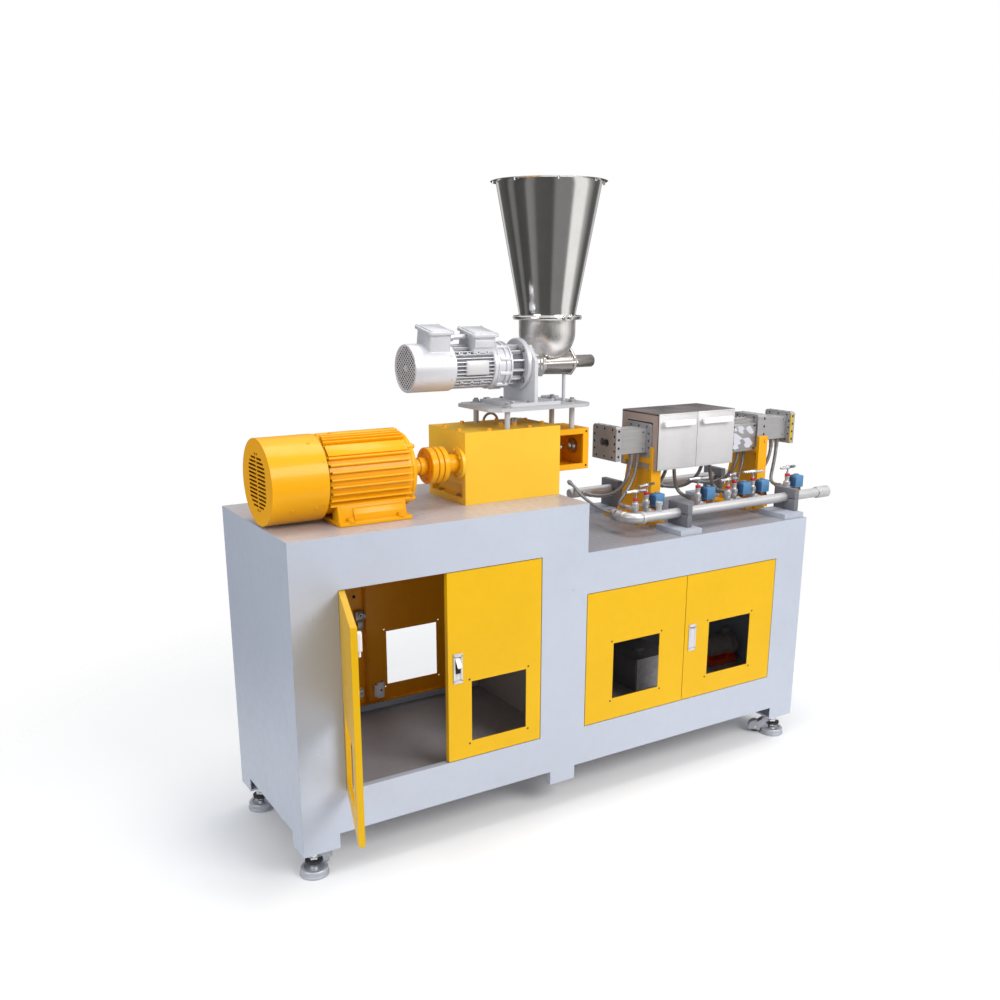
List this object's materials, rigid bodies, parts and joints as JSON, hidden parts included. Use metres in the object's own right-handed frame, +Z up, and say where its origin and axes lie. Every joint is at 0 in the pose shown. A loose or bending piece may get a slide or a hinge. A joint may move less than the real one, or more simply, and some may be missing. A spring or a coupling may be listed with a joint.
{
  "type": "twin-screw pelletizer",
  "caption": "Laboratory twin-screw pelletizer: finned motor and gearbox, screw feeder with hopper, flanged barrel with water cooling, on a grey and yellow cabinet with levelling casters.",
  "frame": {"origin": "on the floor, under the middle of the whole machine's length and depth, the open door included", "axes": "+X from the motor to the discharge end, +Y from the front doors to the rear doors, +Z up"},
  "size_m": [2.117, 0.8478, 1.926],
  "materials": {
    "cabinet_paint": "satin powder coat, light grey blue",
    "deck_paint": "satin powder coat, grey",
    "door_paint": "satin powder coat, yellow",
    "drive_paint": "gloss machine enamel, orange yellow",
    "silver_paint": "satin silver enamel",
    "machined_steel": "ground and milled",
    "bright_sheet": "brushed stainless sheet",
    "pipe_steel": "satin stainless",
    "polished_steel": "polished stainless",
    "chromed_steel": "chromed",
    "cast_aluminium": "die cast, satin",
    "dark_plastic": "moulded nylon",
    "clamp_plastic": "moulded polypropylene",
    "coil_plastic": "moulded coil housing, blue",
    "braided_steel": "woven stainless wire"
  },
  "bodies": {
    "machine": {"cabinet_front": "cabinet_paint", "cabinet_rear": "cabinet_paint", "cabinet_ends": "cabinet_paint", "cabinet_decks": "deck_paint", "cabinet_floor": "cabinet_paint", "motor_body": "drive_paint", "motor_cowl": "drive_paint", "gearbox_case": "drive_paint", "gearbox_fittings": "machined_steel", "lantern": "drive_paint", "feeder_platform": "silver_paint", "feeder_bracket": "silver_paint", "feeder_motor": "silver_paint", "feeder_reducer": "silver_paint", "feed_bowl": "polished_steel", "hopper": "polished_steel", "hopper_clamp": "polished_steel", "barrel_sections": "machined_steel", "junction_box": "bright_sheet", "barrel_supports": "drive_paint", "coolant_pipes": "pipe_steel", "pipe_clamps": "clamp_plastic", "cooling_hoses": "braided_steel", "loose_hose": "braided_steel", "loose_hose_nut": "braided_steel", "coolant_valves": "pipe_steel", "solenoid_coils": "coil_plastic", "cooling_unit": "machined_steel"},
    "front_door_1": {"front_door_1": "door_paint"},
    "caster_1": {"caster_1": "cast_aluminium"},
    "caster_wheel_1": {"caster_wheel_1": "dark_plastic"},
    "front_door_2": {"front_door_2": "door_paint"},
    "caster_2": {"caster_2": "cast_aluminium"},
    "caster_wheel_2": {"caster_wheel_2": "dark_plastic"},
    "front_door_3": {"front_door_3": "door_paint"},
    "caster_3": {"caster_3": "cast_aluminium"},
    "caster_wheel_3": {"caster_wheel_3": "dark_plastic"},
    "front_door_4": {"front_door_4": "door_paint"},
    "caster_4": {"caster_4": "cast_aluminium"},
    "caster_wheel_4": {"caster_wheel_4": "dark_plastic"},
    "rear_door_1": {"rear_door_1": "door_paint"},
    "latch_paddle_1": {"latch_paddle_1": "chromed_steel"},
    "output_shaft_1": {"output_shaft_1": "machined_steel"},
    "screw_1": {"screw_1": "machined_steel"},
    "heater_cover_1": {"heater_cover_1": "bright_sheet"},
    "rear_door_2": {"rear_door_2": "door_paint"},
    "latch_paddle_2": {"latch_paddle_2": "chromed_steel"},
    "output_shaft_2": {"output_shaft_2": "machined_steel"},
    "screw_2": {"screw_2": "machined_steel"},
    "heater_cover_2": {"heater_cover_2": "bright_sheet"},
    "drive": {"motor_rotor": "machined_steel", "coupling": "drive_paint"},
    "feeder_screw": {"feeder_screw": "machined_steel"},
    "valve_handle_1": {"valve_handle_1": "chromed_steel"},
    "valve_handle_2": {"valve_handle_2": "chromed_steel"},
    "valve_handle_3": {"valve_handle_3": "chromed_steel"},
    "valve_handle_4": {"valve_handle_4": "chromed_steel"},
    "valve_handle_5": {"valve_handle_5": "chromed_steel"},
    "valve_handle_6": {"valve_handle_6": "chromed_steel"},
    "valve_handle_7": {"valve_handle_7": "chromed_steel"}
  },
  "joints": [
    {"name": "front_door_1_hinge", "type": "hinge", "parent": "machine", "child": "front_door_1", "pos_m": [-0.915, -0.11707, 0.549], "axis": [0, 0, -1], "range_deg": [-108, 3]},
    {"name": "front_door_2_hinge", "type": "hinge", "parent": "machine", "child": "front_door_2", "pos_m": [-0.275, -0.11707, 0.549], "axis": [0, 0, 1], "range_deg": [0, 100]},
    {"name": "front_door_3_hinge", "type": "hinge", "parent": "machine", "child": "front_door_3", "pos_m": [-0.091, -0.11707, 0.479], "axis": [0, 0, -1], "range_deg": [0, 100]},
    {"name": "front_door_4_hinge", "type": "hinge", "parent": "machine", "child": "front_door_4", "pos_m": [0.717, -0.11707, 0.479], "axis": [0, 0, 1], "range_deg": [0, 110]},
    {"name": "rear_door_1_hinge", "type": "hinge", "parent": "machine", "child": "rear_door_1", "pos_m": [-0.935, 0.41593, 0.549], "axis": [0, 0, 1], "range_deg": [0, 110]},
    {"name": "rear_door_2_hinge", "type": "hinge", "parent": "machine", "child": "rear_door_2", "pos_m": [-0.295, 0.41593, 0.549], "axis": [0, 0, -1], "range_deg": [0, 110]},
    {"name": "latch_paddle_1_hinge", "type": "hinge", "parent": "front_door_2", "child": "latch_paddle_1", "pos_m": [-0.56175, -0.12007, 0.579], "axis": [-1, 0, 0], "range_deg": [-30, 20]},
    {"name": "latch_paddle_2_hinge", "type": "hinge", "parent": "front_door_4", "child": "latch_paddle_2", "pos_m": [0.34625, -0.12007, 0.509], "axis": [-1, 0, 0], "range_deg": [0, 50]},
    {"name": "caster_1_swivel", "type": "hinge", "parent": "machine", "child": "caster_1", "pos_m": [-1.0135, -0.07707, 0.084], "axis": [0, 0, 1], "continuous": true},
    {"name": "caster_1_roll", "type": "hinge", "parent": "caster_1", "child": "caster_wheel_1", "pos_m": [-0.96601, -0.03722, 0.024], "axis": [-0.6428, 0.766, 0], "continuous": true},
    {"name": "caster_2_swivel", "type": "hinge", "parent": "machine", "child": "caster_2", "pos_m": [0.8165, -0.07707, 0.084], "axis": [0, 0, 1], "continuous": true},
    {"name": "caster_2_roll", "type": "hinge", "parent": "caster_2", "child": "caster_wheel_2", "pos_m": [0.76901, -0.03722, 0.024], "axis": [-0.6428, -0.766, 0], "continuous": true},
    {"name": "caster_3_swivel", "type": "hinge", "parent": "machine", "child": "caster_3", "pos_m": [-1.0135, 0.37593, 0.084], "axis": [0, 0, 1], "continuous": true},
    {"name": "caster_3_roll", "type": "hinge", "parent": "caster_3", "child": "caster_wheel_3", "pos_m": [-0.96601, 0.33608, 0.024], "axis": [0.6428, 0.766, 0], "continuous": true},
    {"name": "caster_4_swivel", "type": "hinge", "parent": "machine", "child": "caster_4", "pos_m": [0.8165, 0.37593, 0.084], "axis": [0, 0, 1], "continuous": true},
    {"name": "caster_4_roll", "type": "hinge", "parent": "caster_4", "child": "caster_wheel_4", "pos_m": [0.76901, 0.33608, 0.024], "axis": [0.6428, -0.766, 0], "continuous": true},
    {"name": "drive_spin", "type": "hinge", "parent": "machine", "child": "drive", "pos_m": [-0.5585, 0.08293, 1.114], "axis": [1, 0, 0], "continuous": true},
    {"name": "output_shaft_1_spin", "type": "hinge", "parent": "machine", "child": "output_shaft_1", "pos_m": [-0.0585, 0.13773, 1.1205], "axis": [1, 0, 0], "continuous": true},
    {"name": "output_shaft_2_spin", "type": "hinge", "parent": "machine", "child": "output_shaft_2", "pos_m": [-0.0585, 0.16013, 1.1205], "axis": [1, 0, 0], "continuous": true},
    {"name": "screw_1_spin", "type": "hinge", "parent": "machine", "child": "screw_1", "pos_m": [0.5415, 0.13773, 1.1205], "axis": [1, 0, 0], "continuous": true},
    {"name": "screw_2_spin", "type": "hinge", "parent": "machine", "child": "screw_2", "pos_m": [0.5415, 0.16013, 1.1205], "axis": [1, 0, 0], "continuous": true},
    {"name": "feeder_screw_spin", "type": "hinge", "parent": "machine", "child": "feeder_screw", "pos_m": [-0.0585, 0.14893, 1.391], "axis": [1, 0, 0], "continuous": true},
    {"name": "heater_cover_1_lift", "type": "slide", "parent": "machine", "child": "heater_cover_1", "axis": [0, 0, 1], "range_m": [0, 0.25]},
    {"name": "heater_cover_2_lift", "type": "slide", "parent": "machine", "child": "heater_cover_2", "axis": [0, 0, 1], "range_m": [0, 0.25]},
    {"name": "valve_handle_1_turn", "type": "hinge", "parent": "machine", "child": "valve_handle_1", "pos_m": [0.2035, 0.02793, 0.964], "axis": [0, 0, 1], "range_deg": [-360, 360]},
    {"name": "valve_handle_2_turn", "type": "hinge", "parent": "machine", "child": "valve_handle_2", "pos_m": [0.2655, 0.04793, 0.964], "axis": [0, 0, 1], "range_deg": [-360, 360]},
    {"name": "valve_handle_3_turn", "type": "hinge", "parent": "machine", "child": "valve_handle_3", "pos_m": [0.4965, 0.04793, 0.964], "axis": [0, 0, 1], "range_deg": [-360, 360]},
    {"name": "valve_handle_4_turn", "type": "hinge", "parent": "machine", "child": "valve_handle_4", "pos_m": [0.6195, 0.02793, 0.964], "axis": [0, 0, 1], "range_deg": [-360, 360]},
    {"name": "valve_handle_5_turn", "type": "hinge", "parent": "machine", "child": "valve_handle_5", "pos_m": [0.6685, 0.04793, 0.964], "axis": [0, 0, 1], "range_deg": [-360, 360]},
    {"name": "valve_handle_6_turn", "type": "hinge", "parent": "machine", "child": "valve_handle_6", "pos_m": [0.7585, 0.04793, 0.964], "axis": [0, 0, 1], "range_deg": [-360, 360]},
    {"name": "valve_handle_7_turn", "type": "hinge", "parent": "machine", "child": "valve_handle_7", "pos_m": [0.9345, 0.04793, 0.964], "axis": [0, 0, 1], "range_deg": [-360, 360]}
  ],
  "couplings": [
    {"joint": "output_shaft_1_spin", "follows": "drive_spin", "ratio": 0.4},
    {"joint": "output_shaft_2_spin", "follows": "drive_spin", "ratio": 0.4},
    {"joint": "screw_2_spin", "follows": "screw_1_spin", "ratio": 1}
  ]
}
